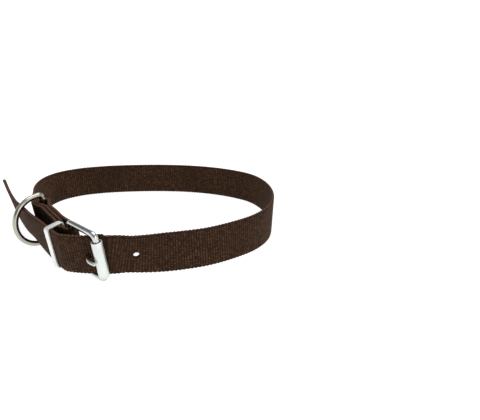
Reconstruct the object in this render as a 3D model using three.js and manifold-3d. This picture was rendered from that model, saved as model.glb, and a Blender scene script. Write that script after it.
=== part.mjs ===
// Dog collar: one strip of woven webbing, a roller buckle, a metal keeper and a D ring.
// Millimetres, +Z up, +X to the right and +Y away from the viewer who faces the buckle.
// The collar is buckled and stands on its lower edge. The strip starts at the free tip,
// runs through the ring and the keeper, over the buckle's bar and behind its roller,
// round the neck, and folds back round the bar with the keeper in the fold. Its other end is
// turned round the ring's bar and lies between the two layers of the fold.
import * as THREE from 'three';
import { mergeVertices } from 'three/addons/utils/BufferGeometryUtils.js';
import Module from 'manifold-3d';

const wasm = await Module();
wasm.setup();

// Webbing
const webbingWidth = 25;
const webbingThickness = 2.2;
const selvedgeRound = 0.5;
const layerClearance = 0.3;
const webbingStep = 4.5;
const holeStep = 0.4;

// Neck loop, as the plan size of the webbing's centre line
const loopLength = 183;
const loopWidth = 159;

// Buckle frame: a closed wire rectangle whose far side carries the roller
const buckleLength = 28.2;
const buckleWire = 3.6;
const buckleSideGap = 0.6;
const buckleBarCorner = 2.2;
const buckleRollerCorner = 3.2;
const buckleAzimuth = -42;
const buckleLean = 6;

// Roller on the buckle's far side
const rollerDiameter = 6.3;
const rollerWall = 0.7;
const rollerLength = 22.8;
const rollerDrop = 0.6;

// Prong, bent up through a hole and down onto the roller
const prongWire = 2.4;
const prongEyeWrap = 220;
const prongOverhang = 1.8;
const prongDroop = 1.2;
const prongDroopFrom = 0.72;

// Keeper: a closed flat band, its inner side in the fold and swung out of the fold's line
const keeperDistance = 6.7;
const keeperBand = 3.6;
const keeperThickness = 1.2;
const keeperReach = 10.4;
const keeperStandOff = 2.4;
const keeperSwing = 15.5;
const keeperSideGap = 0.3;
const keeperCorner = 1.6;

// D ring, its straight side in the turned end of the strip
const ringWire = 3.5;
const ringInnerHeight = 29;
const ringStraight = 5.9;
const ringCorner = 2.2;
const ringDistance = 49.4;
const ringSwing = -15;
const ringClearance = 0.5;

// Fold at the buckle end, swung back about the bar from the line of the buckle: three layers
const foldSwing = 9;
const foldStandOff = 3.7;
const foldRise = 0.8;
const foldPastRing = 9;
const foldEase = 9;
const foldPastBar = 1.5;
const foldTurnedLength = 39.4;
const slotWidth = 4.4;
const slotReach = 5.2;

// Free end of the strip
const tailPastRing = 86;
const tailOffsetAtRing = 11.5;
const tailRiseAtRing = -0.1;
const tailLeanAtRing = 13;
const tailTurn = -7;
const tipLength = 11;
const tipBlunt = 0.4;

// Holes for the prong
const holeDiameter = 3.2;
const holePitch = 27.5;
const holesTowardsTip = 1;
const holesTowardsNeck = 1;
const prongHoleStretch = 1.9;

// Facets
const wireSides = 10;
const cornerSteps = 4;
const roundSteps = 16;
const rollerSides = 24;
const holeSides = 12;

const halfWidth = webbingWidth / 2;
const wireRadius = buckleWire / 2;
const ringRadius = ringWire / 2;
const rollerRadius = rollerDiameter / 2;
const prongRadius = prongWire / 2;
const frameHalf = halfWidth + buckleSideGap / 2 + wireRadius;
const rad = THREE.MathUtils.degToRad;

// Unit axes for a plan azimuth: u along the strip towards the roller, n outwards, w up.
function axes(azimuthDeg, leanDeg) {
  const a = rad(azimuthDeg);
  const l = rad(leanDeg);
  const u = new THREE.Vector3(Math.cos(a), Math.sin(a), 0);
  const outward = new THREE.Vector3(Math.sin(a), -Math.cos(a), 0);
  const w = new THREE.Vector3(0, 0, Math.cos(l)).addScaledVector(outward, Math.sin(l));
  return { u, n: u.clone().cross(w), w };
}

// The same axes swung about w, backwards for a positive angle.
function swung(frame, angleDeg) {
  const turn = new THREE.Quaternion().setFromAxisAngle(frame.w, -rad(angleDeg));
  const u = frame.u.clone().applyQuaternion(turn);
  return { ...frame, u, n: u.clone().cross(frame.w) };
}

function place(frame, u, n, w = 0) {
  return frame.p.clone()
    .addScaledVector(frame.u, u)
    .addScaledVector(frame.n, n)
    .addScaledVector(frame.w, w);
}

// The buckle's bar: its place in plan as shares of the loop, its height from the wire at its foot.
const barShareX = -0.346;
const barShareY = -0.811;
const buckleAxes = axes(buckleAzimuth, buckleLean);
const foldAxes = swung(buckleAxes, foldSwing);
const barCentre = new THREE.Vector3(
  barShareX * loopLength / 2,
  barShareY * loopWidth / 2,
  frameHalf * buckleAxes.w.z + wireRadius,
);

// Frame in the buckle at a distance from its bar towards the roller.
function buckleFrame(distance) {
  return { p: barCentre.clone().addScaledVector(buckleAxes.u, distance), ...buckleAxes };
}

// Frame on the fold's line at a distance back from the bar. The line rises a little to the ring.
function foldFrame(distance) {
  const p = barCentre.clone()
    .addScaledVector(foldAxes.u, -distance)
    .addScaledVector(foldAxes.w, foldRise * distance / ringDistance);
  return { p, ...foldAxes };
}

// How far each layer of the fold lies from the fold's line, opened round what it holds. The outer
// layer comes from the neck. The inner layer runs from the bar to the ring, round the ring's bar
// and back between the other two.
const layerPitch = webbingThickness + layerClearance;
const barOffset = wireRadius + layerClearance + webbingThickness / 2;
const keeperTurn = rad(keeperSwing);
const keeperHalf = (keeperThickness * Math.cos(keeperTurn) + keeperBand * Math.sin(keeperTurn)) / 2;
const keeperOffset = keeperHalf + layerClearance + webbingThickness / 2;
const ringOffset = ringRadius + ringClearance + webbingThickness / 2;
const outerLayer = [
  { distance: foldPastBar, offset: barOffset },
  { distance: keeperDistance - keeperBand / 2, offset: keeperStandOff + keeperOffset },
  { distance: keeperDistance + keeperBand / 2, offset: keeperStandOff + keeperOffset },
  { distance: keeperDistance + foldEase, offset: foldStandOff },
  { distance: (keeperDistance + ringDistance) / 2, offset: foldStandOff },
  { distance: ringDistance - foldEase, offset: foldStandOff },
  { distance: ringDistance - ringRadius, offset: ringOffset + layerPitch },
  { distance: ringDistance + ringRadius, offset: ringOffset + layerPitch },
  { distance: ringDistance + foldPastRing, offset: foldStandOff },
];
const innerLayer = [
  { distance: foldPastBar, offset: -barOffset },
  { distance: keeperDistance + foldEase, offset: foldStandOff - 2 * layerPitch },
  { distance: (keeperDistance + ringDistance) / 2, offset: foldStandOff - 2 * layerPitch },
  { distance: ringDistance - foldEase, offset: foldStandOff - 2 * layerPitch },
  { distance: ringDistance - ringRadius, offset: -ringOffset },
];
const turnedLayer = [
  { distance: ringDistance - ringRadius, offset: ringOffset },
  { distance: ringDistance - foldEase, offset: foldStandOff - layerPitch },
  { distance: ringDistance - foldTurnedLength / 2, offset: foldStandOff - layerPitch },
  { distance: ringDistance - foldTurnedLength, offset: foldStandOff - layerPitch },
];

function layerStation(row) {
  const frame = foldFrame(row.distance);
  return { p: place(frame, 0, row.offset), up: frame.w };
}

// The strip in the buckle: behind the roller, and bowed out between the bar and the keeper.
const behindRoller = -(rollerRadius + layerClearance + webbingThickness / 2);
const againstKeeper = keeperStandOff + keeperReach * Math.cos(keeperTurn) - keeperOffset;
const buckleRun = [
  { share: 1.0, reach: behindRoller * 1.13 },
  { share: 0.9, reach: behindRoller * 1.04 },
  { share: 0.78, reach: behindRoller * 0.2 },
  { share: 0.62, reach: againstKeeper * 0.28 },
  { share: 0.44, reach: againstKeeper * 0.59 },
  { share: 0.27, reach: againstKeeper * 0.83 },
  { share: 0.12, reach: againstKeeper * 0.98 },
];

// The strip from the keeper to the ring: shares of the way out, of the rise and of the lean.
const tailRun = [
  { share: 0.0, out: 0.0, rise: 0.0, lean: 0.0 },
  { share: 0.3, out: 0.5, rise: 0.0, lean: 0.2 },
  { share: 0.65, out: 0.95, rise: 0.5, lean: 0.7 },
  { share: 1.0, out: 1.0, rise: 1.0, lean: 1.0 },
];

// The tail past the ring: lift in shares of the strip's height, lean in degrees outwards.
const tailEnd = [
  { turn: 0.2, lift: 0.11, lean: 13.5 },
  { turn: 0.6, lift: 0.1, lean: 12.5 },
  { turn: 0.9, lift: 0.1, lean: 11.5 },
  { turn: 1.0, lift: 0.1, lean: 10.5 },
];

// The neck loop from the roller round to the fold: x and y in shares of the half sizes,
// lift in shares of the strip's height at the buckle, lean in degrees outwards.
const neckLoop = [
  { x: 0.035, y: -0.948, lift: 0.6, lean: 9 },
  { x: 0.145, y: -0.905, lift: 0.25, lean: 3 },
  { x: 0.257, y: -0.863, lift: 0.08, lean: -3 },
  { x: 0.353, y: -0.828, lift: 0.0, lean: -4 },
  { x: 0.515, y: -0.765, lift: 0.0, lean: -3 },
  { x: 0.68, y: -0.652, lift: 0.0, lean: -3 },
  { x: 0.84, y: -0.495, lift: 0.0, lean: -2 },
  { x: 0.94, y: -0.31, lift: 0.0, lean: 0 },
  { x: 0.985, y: -0.08, lift: 0.0, lean: 3 },
  { x: 0.985, y: 0.17, lift: 0.0, lean: 3 },
  { x: 0.935, y: 0.43, lift: 0.0, lean: 1 },
  { x: 0.83, y: 0.64, lift: 0.0, lean: 0 },
  { x: 0.66, y: 0.793, lift: 0.0, lean: 0 },
  { x: 0.45, y: 0.905, lift: 0.0, lean: 0 },
  { x: 0.21, y: 0.975, lift: 0.0, lean: 0 },
  { x: -0.06, y: 1.0, lift: 0.0, lean: 0 },
  { x: -0.34, y: 0.985, lift: 0.0, lean: 0 },
  { x: -0.58, y: 0.94, lift: 0.0, lean: 0 },
  { x: -0.77, y: 0.86, lift: 0.0, lean: 0 },
  { x: -0.9, y: 0.735, lift: 0.05, lean: 0 },
  { x: -0.965, y: 0.575, lift: 0.15, lean: 1 },
  { x: -0.975, y: 0.39, lift: 0.3, lean: 2 },
  { x: -0.935, y: 0.17, lift: 0.55, lean: 3 },
  { x: -0.865, y: -0.03, lift: 0.8, lean: 5 },
];

function tailStations() {
  const frame = foldFrame(ringDistance);
  const start = place(frame, 0, tailOffsetAtRing, tailRiseAtRing);
  const step = tailPastRing / tailEnd.length;
  const stations = [];
  const at = start.clone();
  for (const row of tailEnd) {
    const azimuth = buckleAzimuth - foldSwing + tailTurn * row.turn;
    const { u, w } = axes(azimuth, row.lean);
    at.addScaledVector(u, -step);
    at.z = row.lift * webbingWidth + halfWidth * w.z;
    stations.push({ p: at.clone(), up: w });
  }
  return stations.reverse();
}

function keeperToRing() {
  const stations = tailRun.map(({ share, out, rise, lean }) => {
    const frame = foldFrame(THREE.MathUtils.lerp(keeperDistance, ringDistance, share));
    const reach = THREE.MathUtils.lerp(againstKeeper, tailOffsetAtRing, out);
    const leanDeg = THREE.MathUtils.lerp(buckleLean, tailLeanAtRing, lean);
    const up = axes(buckleAzimuth - foldSwing, leanDeg).w;
    return { p: place(frame, 0, reach, rise * tailRiseAtRing), up };
  });
  return stations.reverse();
}

function throughBuckle() {
  const stations = buckleRun.map(({ share, reach }) => {
    const frame = buckleFrame(share * buckleLength);
    return { p: place(frame, 0, reach), up: frame.w };
  });
  return stations.reverse();
}

function roundNeck() {
  const liftAtBuckle = barCentre.z - halfWidth;
  const plan = neckLoop.map(({ x, y }) => new THREE.Vector2(x * loopLength / 2, y * loopWidth / 2));
  return neckLoop.map(({ lift, lean }, i) => {
    const before = plan[Math.max(i - 1, 0)];
    const after = plan[Math.min(i + 1, plan.length - 1)];
    const heading = after.clone().sub(before).normalize();
    const outward = new THREE.Vector3(heading.y, -heading.x, 0);
    const tilt = rad(lean);
    const up = new THREE.Vector3(0, 0, Math.cos(tilt)).addScaledVector(outward, Math.sin(tilt));
    const footRound = (webbingThickness / 2 - selvedgeRound) * Math.abs(Math.sin(tilt));
    const height = lift * liftAtBuckle + halfWidth * Math.cos(tilt) + footRound;
    return { p: new THREE.Vector3(plan[i].x, plan[i].y, height), up };
  });
}

// Half a turn about the fold's line at a distance: round the bar or round the ring.
function halfTurn(distance, radius, fromDeg, toDeg) {
  const frame = foldFrame(distance);
  return arcPoints(0, 0, radius, fromDeg, toDeg, 2 * cornerSteps)
    .map(([u, n]) => ({ p: place(frame, u, n), up: frame.w }));
}

// Samples a smooth curve through the stations, with the upward direction turned evenly between.
function sampleStations(stations, maxStep) {
  const curve = new THREE.CatmullRomCurve3(stations.map((s) => s.p), false, 'centripetal');
  const last = stations.length - 1;
  const samples = [];
  for (let i = 0; i < last; i += 1) {
    const chord = stations[i].p.distanceTo(stations[i + 1].p);
    const steps = Math.ceil(chord / maxStep);
    for (let k = 0; k < steps; k += 1) {
      const share = k / steps;
      const up = stations[i].up.clone().lerp(stations[i + 1].up, share).normalize();
      samples.push({ p: curve.getPoint((i + share) / last), up });
    }
  }
  samples.push({ p: stations[last].p.clone(), up: stations[last].up.clone() });
  return samples;
}

// Gives each sample its tangent, its thickness direction, its squared up and its length so far.
function frameSamples(samples) {
  let length = 0;
  return samples.map((sample, i) => {
    const before = samples[Math.max(i - 1, 0)].p;
    const after = samples[Math.min(i + 1, samples.length - 1)].p;
    const tangent = after.clone().sub(before).normalize();
    const up = sample.up.clone().addScaledVector(tangent, -sample.up.dot(tangent)).normalize();
    const across = tangent.clone().cross(up).normalize();
    length += i > 0 ? sample.p.distanceTo(samples[i - 1].p) : 0;
    return { p: sample.p, tangent, up, across, length };
  });
}

// A closed solid through rings of points, capped at both ends unless the rings close on themselves.
function loft(rings, closed) {
  const count = rings[0].length;
  const positions = rings.flat().flatMap((p) => [p.x, p.y, p.z]);
  const index = [];
  const spans = closed ? rings.length : rings.length - 1;
  for (let i = 0; i < spans; i += 1) {
    const a = i * count;
    const b = ((i + 1) % rings.length) * count;
    for (let k = 0; k < count; k += 1) {
      const next = (k + 1) % count;
      index.push(a + k, b + k, b + next, a + k, b + next, a + next);
    }
  }
  if (!closed) {
    const end = (rings.length - 1) * count;
    for (let k = 1; k < count - 1; k += 1) {
      index.push(0, k, k + 1, end, end + k + 1, end + k);
    }
  }
  const geometry = new THREE.BufferGeometry();
  geometry.setAttribute('position', new THREE.Float32BufferAttribute(positions, 3));
  geometry.setIndex(signedVolume(positions, index) < 0 ? index.reverse() : index);
  return geometry;
}

function signedVolume(positions, index) {
  const corner = (i) => new THREE.Vector3().fromArray(positions, 3 * i);
  let sum = 0;
  for (let i = 0; i < index.length; i += 3) {
    sum += corner(index[i]).dot(corner(index[i + 1]).cross(corner(index[i + 2])));
  }
  return sum / 6;
}

// The webbing's section: a flat strip with rounded selvedges, half its width set at each place.
function webbingSection(frame, half) {
  const thick = webbingThickness / 2;
  const roundAcross = Math.min(selvedgeRound, half / 2);
  const corners = [
    [thick, half - roundAcross], [thick - selvedgeRound, half],
    [selvedgeRound - thick, half], [-thick, half - roundAcross],
    [-thick, roundAcross - half], [selvedgeRound - thick, -half],
    [thick - selvedgeRound, -half], [thick, roundAcross - half],
  ];
  return corners.map(([across, up]) => frame.p.clone()
    .addScaledVector(frame.across, across)
    .addScaledVector(frame.up, up));
}

// The tip narrows along a quarter ellipse to a blunt end.
function halfWidthAt(length) {
  const left = Math.max(0, 1 - length / tipLength);
  return halfWidth * (tipBlunt + (1 - tipBlunt) * Math.sqrt(1 - left * left));
}

function wireRing(centre, across, up, radius) {
  return Array.from({ length: wireSides }, (_, k) => {
    const angle = 2 * Math.PI * (k + 0.5) / wireSides;
    return centre.clone()
      .addScaledVector(across, radius * Math.cos(angle))
      .addScaledVector(up, radius * Math.sin(angle));
  });
}

// A round wire along points in one plane, given the plane's normal.
function wireAlong(points, normal, radius, closed) {
  const last = points.length - 1;
  const rings = points.map((p, i) => {
    const before = closed ? points[(i + last) % points.length] : points[Math.max(i - 1, 0)];
    const after = closed ? points[(i + 1) % points.length] : points[Math.min(i + 1, last)];
    const along = after.clone().sub(before).normalize();
    return wireRing(p, along.cross(normal).normalize(), normal, radius);
  });
  return loft(rings, closed);
}

// Points of a flat closed outline: corners given as centre, radius and the quarter they turn.
function arcPoints(centreU, centreV, radius, fromDeg, toDeg, steps) {
  return Array.from({ length: steps + 1 }, (_, i) => {
    const angle = rad(THREE.MathUtils.lerp(fromDeg, toDeg, i / steps));
    return [centreU + radius * Math.cos(angle), centreV + radius * Math.sin(angle)];
  });
}

function toManifold(geometry) {
  const bare = geometry.clone();
  bare.deleteAttribute('normal');
  bare.deleteAttribute('uv');
  const merged = mergeVertices(bare, 1e-5);
  return new wasm.Manifold(new wasm.Mesh({
    numProp: 3,
    vertProperties: Float32Array.from(merged.attributes.position.array),
    triVerts: Uint32Array.from(merged.index.array),
  }));
}

function fromManifold(solid) {
  const mesh = solid.getMesh();
  const geometry = new THREE.BufferGeometry();
  geometry.setAttribute('position', new THREE.BufferAttribute(Float32Array.from(mesh.vertProperties), 3));
  geometry.setIndex(Array.from(mesh.triVerts));
  return geometry;
}

// The prong's centre line in the buckle's plane, as reach along u and n.
const prongEye = wireRadius + layerClearance + prongRadius;
const prongRest = rollerRadius + layerClearance + prongRadius;
const prongRun = [
  { share: 0.16, reach: prongEye * 0.85 },
  { share: 0.34, reach: prongEye * 0.48 },
  { share: 0.55, reach: prongEye * 0.2 },
  { share: 0.67, reach: prongEye * 0.36 },
  { share: 0.76, reach: prongRest * 0.82 },
  { share: 0.86, reach: prongRest * 1.1 },
  { share: 0.94, reach: prongRest * 1.11 },
  { share: 1.0, reach: prongRest * 1.02 },
];

function prongPoints() {
  const frame = buckleFrame(0);
  const eye = arcPoints(0, 0, prongEye, 90 + prongEyeWrap, 90, roundSteps);
  const shank = prongRun.map(({ share, reach }) => [share * buckleLength, reach]);
  shank.push([buckleLength + prongOverhang, prongRest]);
  const curve = new THREE.CatmullRomCurve3(
    [eye.at(-1), ...shank].map(([u, n]) => new THREE.Vector3(u, n, 0)),
    false,
    'centripetal',
  );
  const along = curve.getPoints(roundSteps).slice(1).map((p) => [p.x, p.y]);
  return [...eye, ...along].map(([u, n]) => {
    const past = Math.max(0, u / buckleLength - prongDroopFrom) / (1 - prongDroopFrom);
    return place(frame, u, n, -prongDroop * past);
  });
}

function buildProng() {
  return wireAlong(prongPoints(), buckleAxes.w, prongRadius, false);
}

function buildBuckleFrame() {
  const frame = buckleFrame(0);
  const barInset = frameHalf - buckleBarCorner;
  const rollerInset = frameHalf - buckleRollerCorner;
  const farCentre = buckleLength - buckleRollerCorner;
  const outline = [
    ...arcPoints(buckleBarCorner, -barInset, buckleBarCorner, 180, 270, cornerSteps),
    ...arcPoints(farCentre, -rollerInset, buckleRollerCorner, 270, 360, cornerSteps),
    ...arcPoints(farCentre, rollerInset, buckleRollerCorner, 0, 90, cornerSteps),
    ...arcPoints(buckleBarCorner, barInset, buckleBarCorner, 90, 180, cornerSteps),
  ];
  const points = outline.map(([u, w]) => place(frame, u, 0, w));
  return wireAlong(points, frame.n, wireRadius, true);
}

function buildRoller() {
  const inner = rollerRadius - rollerWall;
  const half = rollerLength / 2;
  const bevel = rollerWall / 3;
  const profile = [
    [inner, -half], [rollerRadius - bevel, -half], [rollerRadius, bevel - half],
    [rollerRadius, half - bevel], [rollerRadius - bevel, half], [inner, half], [inner, -half],
  ];
  return new THREE.LatheGeometry(profile.map(([r, y]) => new THREE.Vector2(r, y)), rollerSides);
}

function buildKeeper() {
  const at = foldFrame(keeperDistance);
  const frame = { ...swung(at, -keeperSwing), p: place(at, 0, keeperStandOff) };
  const side = halfWidth + keeperSideGap + keeperThickness / 2;
  const inset = side - keeperCorner;
  const far = keeperReach - keeperCorner;
  const outline = [
    ...arcPoints(keeperCorner, -inset, keeperCorner, 180, 270, cornerSteps),
    ...arcPoints(far, -inset, keeperCorner, 270, 360, cornerSteps),
    ...arcPoints(far, inset, keeperCorner, 0, 90, cornerSteps),
    ...arcPoints(keeperCorner, inset, keeperCorner, 90, 180, cornerSteps),
  ];
  const halfBand = keeperBand / 2;
  const halfThick = keeperThickness / 2;
  const bevel = keeperThickness / 5;
  const section = [
    [halfBand, halfThick - bevel], [halfBand - bevel, halfThick],
    [bevel - halfBand, halfThick], [-halfBand, halfThick - bevel],
    [-halfBand, bevel - halfThick], [bevel - halfBand, -halfThick],
    [halfBand - bevel, -halfThick], [halfBand, bevel - halfThick],
  ];
  const rings = outline.map(([n, w], i) => {
    const [n0, w0] = outline.at(i - 1);
    const [n1, w1] = outline[(i + 1) % outline.length];
    const size = Math.hypot(n1 - n0, w1 - w0);
    const out = [(w1 - w0) / size, (n0 - n1) / size];
    return section.map(([u, v]) => place(frame, u, n + v * out[0], w + v * out[1]));
  });
  return loft(rings, true);
}

// The ring's frame: its bar in the fold, raised so that the foot of the ring meets the ground.
function ringFrame() {
  const frame = swung(foldFrame(ringDistance), ringSwing);
  const half = ringInnerHeight / 2 + ringRadius;
  const foot = Math.hypot(frame.w.z, frame.n.z) * half + ringRadius - ringStraight * frame.n.z;
  frame.p.addScaledVector(frame.w, (foot - frame.p.z) / frame.w.z);
  return frame;
}

function buildRing() {
  const frame = ringFrame();
  const half = ringInnerHeight / 2 + ringRadius;
  const outline = [
    ...arcPoints(ringCorner, ringCorner - half, ringCorner, 180, 270, cornerSteps),
    ...arcPoints(ringStraight, 0, half, 270, 450, roundSteps),
    ...arcPoints(ringCorner, half - ringCorner, ringCorner, 90, 180, cornerSteps),
  ];
  const points = outline.map(([n, w]) => place(frame, 0, n, w));
  return wireAlong(points, frame.u, ringRadius, true);
}

// A cutter through the webbing at one place: a round or drawn-out hole along the thickness.
function holeCutter(frame, stretch) {
  const cutter = new THREE.CylinderGeometry(
    holeDiameter / 2, holeDiameter / 2, 3 * webbingThickness, holeSides,
  );
  cutter.scale(stretch, 1, 1);
  const basis = new THREE.Matrix4().makeBasis(frame.tangent, frame.across, frame.up.clone().negate());
  cutter.applyMatrix4(basis.setPosition(frame.p));
  return toManifold(cutter);
}

// The slot in the fold through which the prong's eye holds the bar.
function slotCutter() {
  const frame = foldFrame(0);
  const front = barOffset + webbingThickness;
  const reach = keeperStandOff + keeperOffset + webbingThickness / 2 + layerClearance / 2;
  const cutter = new THREE.BoxGeometry(slotReach + front, slotWidth, 2 * reach);
  cutter.translate((front - slotReach) / 2, 0, 0);
  const basis = new THREE.Matrix4().makeBasis(frame.u, frame.w, frame.n);
  cutter.applyMatrix4(basis.setPosition(frame.p));
  return toManifold(cutter);
}

function nearestFrame(frames, point) {
  return frames.reduce((best, f) => (f.p.distanceTo(point) < best.p.distanceTo(point) ? f : best));
}

function frameAtLength(frames, length) {
  const off = (frame) => Math.abs(frame.length - length);
  return frames.reduce((best, f) => (off(f) < off(best) ? f : best));
}

function buildStrap() {
  const coarse = [
    ...tailStations(), ...keeperToRing(), ...throughBuckle(), ...roundNeck(),
    ...[...outerLayer].reverse().map(layerStation),
    ...halfTurn(0, barOffset, 90, -90),
    ...innerLayer.map(layerStation),
    ...halfTurn(ringDistance, ringOffset, 270, 90),
    ...turnedLayer.map(layerStation),
  ];
  const frames = frameSamples(sampleStations(coarse, webbingStep));
  const rings = frames.map((frame) => webbingSection(frame, halfWidthAt(frame.length)));
  const places = frameSamples(sampleStations(coarse, holeStep));
  const inBuckle = frameSamples(sampleStations(throughBuckle(), holeStep));
  const crossing = prongPoints().reduce((best, point) => {
    const near = nearestFrame(inBuckle, point);
    const gap = near.p.distanceTo(point);
    return gap < best.gap ? { gap, p: near.p } : best;
  }, { gap: Infinity });
  const prongFrame = nearestFrame(places, crossing.p);
  let strap = toManifold(loft(rings, false));
  strap = strap.subtract(holeCutter(prongFrame, prongHoleStretch));
  for (let i = -holesTowardsTip; i <= holesTowardsNeck; i += 1) {
    if (i !== 0) {
      const frame = frameAtLength(places, prongFrame.length + i * holePitch);
      strap = strap.subtract(holeCutter(frame, 1));
    }
  }
  return fromManifold(strap.subtract(slotCutter()));
}

// Materials: dark brown webbing and bright plated steel
function webbingMaterial(name) {
  return new THREE.MeshStandardMaterial({ name, color: 0x3a2620, roughness: 0.9, metalness: 0 });
}

function steelMaterial(name) {
  return new THREE.MeshStandardMaterial({ name, color: 0xc9ccca, roughness: 0.22, metalness: 1 });
}

function addMesh(group, name, geometry, material) {
  const mesh = new THREE.Mesh(geometry, material);
  mesh.name = name;
  group.add(mesh);
  return mesh;
}

const collar = new THREE.Group();
collar.name = 'dog_collar';
addMesh(collar, 'strap', buildStrap(), webbingMaterial('webbing'));
addMesh(collar, 'buckle_frame', buildBuckleFrame(), steelMaterial('frame_steel'));
addMesh(collar, 'prong', buildProng(), steelMaterial('prong_steel'));
addMesh(collar, 'keeper', buildKeeper(), steelMaterial('keeper_steel'));
addMesh(collar, 'd_ring', buildRing(), steelMaterial('ring_steel'));

const rollerPlace = buckleFrame(buckleLength);
const roller = addMesh(collar, 'roller', buildRoller(), steelMaterial('roller_steel'));
roller.setRotationFromMatrix(new THREE.Matrix4().makeBasis(
  rollerPlace.u, rollerPlace.w, rollerPlace.n,
));
roller.position.copy(place(rollerPlace, 0, 0, -rollerDrop));

// The origin is under the middle of the whole collar, on the ground.
const bounds = new THREE.Box3().setFromObject(collar, true);
const middle = bounds.getCenter(new THREE.Vector3());
collar.position.set(-middle.x, -middle.y, -bounds.min.z);

export default collar;
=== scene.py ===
import bpy
import numpy as np
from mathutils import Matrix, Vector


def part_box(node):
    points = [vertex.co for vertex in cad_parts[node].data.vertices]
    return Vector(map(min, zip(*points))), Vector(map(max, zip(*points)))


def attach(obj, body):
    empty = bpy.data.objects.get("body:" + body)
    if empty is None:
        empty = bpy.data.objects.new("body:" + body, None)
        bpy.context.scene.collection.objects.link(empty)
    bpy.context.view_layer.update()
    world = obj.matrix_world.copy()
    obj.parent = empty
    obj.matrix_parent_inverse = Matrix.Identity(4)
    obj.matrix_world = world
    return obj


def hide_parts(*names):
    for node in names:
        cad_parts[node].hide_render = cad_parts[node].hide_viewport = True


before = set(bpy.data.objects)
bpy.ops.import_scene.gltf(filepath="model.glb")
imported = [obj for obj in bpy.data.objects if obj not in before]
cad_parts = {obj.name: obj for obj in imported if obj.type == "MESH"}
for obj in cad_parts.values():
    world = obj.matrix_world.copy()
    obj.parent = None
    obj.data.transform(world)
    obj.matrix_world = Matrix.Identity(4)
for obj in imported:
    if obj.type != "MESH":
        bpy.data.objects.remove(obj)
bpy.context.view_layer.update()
rng = np.random.default_rng(7)

# Webbing
webbing_width = 25.0
webbing_thickness = 2.2
layer_clearance = 0.3
picot_pitch = 2.4
picot_depth = 0.42
picot_inset = 0.6
edge_radius = 0.75
selvedge_round = 0.5
weave_along = 1.62
weave_across = 1.12
fold_shade_ease = 4.0
end_gap = 0.3
end_sear = 1.6
hole_sear = 0.7

# Neck loop
loop_length = 183.0
loop_width = 159.0

# Buckle
buckle_length = 28.2
buckle_wire = 3.6
buckle_side_gap = 0.6
buckle_bar_corner = 2.2
buckle_roller_corner = 3.2
buckle_azimuth = -42.0
buckle_lean = 6.0
bar_share_x = -0.346
bar_share_y = -0.811

# Roller, with its seam's azimuth in degrees and its seam's spread in radians
roller_diameter = 6.3
roller_wall = 0.7
roller_length = 22.8
roller_drop = 0.6
seam_azimuth = 250.0
seam_depth = 0.14
seam_spread = 0.05
seam_skin = 0.05

# Prong
prong_wire = 2.4
prong_eye_wrap = 220.0
prong_overhang = 1.8
prong_droop = 1.2
prong_droop_from = 0.72
prong_taper = 0.12
prong_taper_from = 0.72
prong_tip_round = 1.1
prong_end_round = 0.6
prong_least_share = 0.04

# Keeper
keeper_distance = 6.7
keeper_band = 3.6
keeper_thickness = 1.2
keeper_reach = 10.4
keeper_stand_off = 2.4
keeper_swing = 15.5
keeper_side_gap = 0.3
keeper_corner = 1.6
keeper_edge_power = 0.28
keeper_groove_share = 0.3
keeper_groove_width = 0.35

# Ring
ring_wire = 3.5
ring_inner_height = 29.0
ring_straight = 5.9
ring_corner = 2.2
ring_distance = 49.4
ring_swing = -15.0
ring_clearance = 0.5

# Fold
fold_swing = 9.0
fold_stand_off = 3.7
fold_rise = 0.8
fold_past_bar = 1.5
fold_past_ring = 9.0
fold_ease = 9.0
fold_turned_length = 39.4
slot_width = 4.4
slot_reach = 5.2

# Tail
tail_past_ring = 86.0
tail_offset_at_ring = 11.5
tail_rise_at_ring = -0.1
tail_lean_at_ring = 13.0
tail_turn = -7.0
tip_length = 11.0
tip_blunt = 0.4

# Holes
worn_hole_diameter = 3.7
snug_hole_diameter = 2.5
snug_hole_length = 3.4
hole_pitch = 27.5
holes_towards_tip = 1
holes_towards_neck = 1

# Stitches
stitch_distances = (16.6, 18.2, 36.8, 38.4)
stitches_per_row = 7
stitch_pitch = 3.1
stitch_reach = 1.25
stitch_rise = 0.34
stitch_sink = 0.1
stitch_overrun = 0.1
stitch_jitter = 0.06
thread_radius = 0.24

# Camera, in millimetres, pixels and degrees
camera_place = (67.5, -308.0, 133.5)
camera_down = 21.4
focal_pixels = 450
photo_width_pixels = 480
sensor_width = 36.0

# Floor, in metres, with the heights and strengths between which its glow falls
floor_rings = (0.1, 0.4, 0.9, 1.5)
floor_flat_radius = 2.2
floor_bend_radius = 0.55
floor_wall_height = 1.25
glow_heights = (0.35, 1.0)
glow_strengths = (0.9, 0.2)

# Points and steps of the curves and the meshes
span_steps = 60
strip_step = 0.25
tangent_reach = 4
up_reach = 16
half_turn_points = 9
corner_steps = 10
webbing_columns = 30
selvedge_points = 3
rows_per_picot = 4
wire_sides = 24
wire_step = 0.7
prong_eye_points = 40
prong_span_steps = 8
prong_points = 150
prong_sides = 20
keeper_step = 0.35
keeper_sides = 32
ring_step = 0.8
ring_arc_steps = 60
roller_sides = 72
roller_rows = 14
bore_rows = 6
lip_points = 9
stitch_points = 8
thread_sides = 6
floor_sides = 96
floor_bend_points = 13
tiny = 1e-6

half_width = webbing_width / 2
half_thick = webbing_thickness / 2
wire_radius = buckle_wire / 2
ring_radius = ring_wire / 2
roller_radius = roller_diameter / 2
prong_radius = prong_wire / 2
frame_half = half_width + buckle_side_gap / 2 + wire_radius

# The webbing's section: how many points it has, and the one behind the front face's first
section_points = 2 * (webbing_columns + 1 + selvedge_points)
back_start = 2 * webbing_columns + 1 + selvedge_points


def unit(v):
    """Vectors divided by their lengths."""
    return v / np.linalg.norm(v, axis=-1, keepdims=True)


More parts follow.
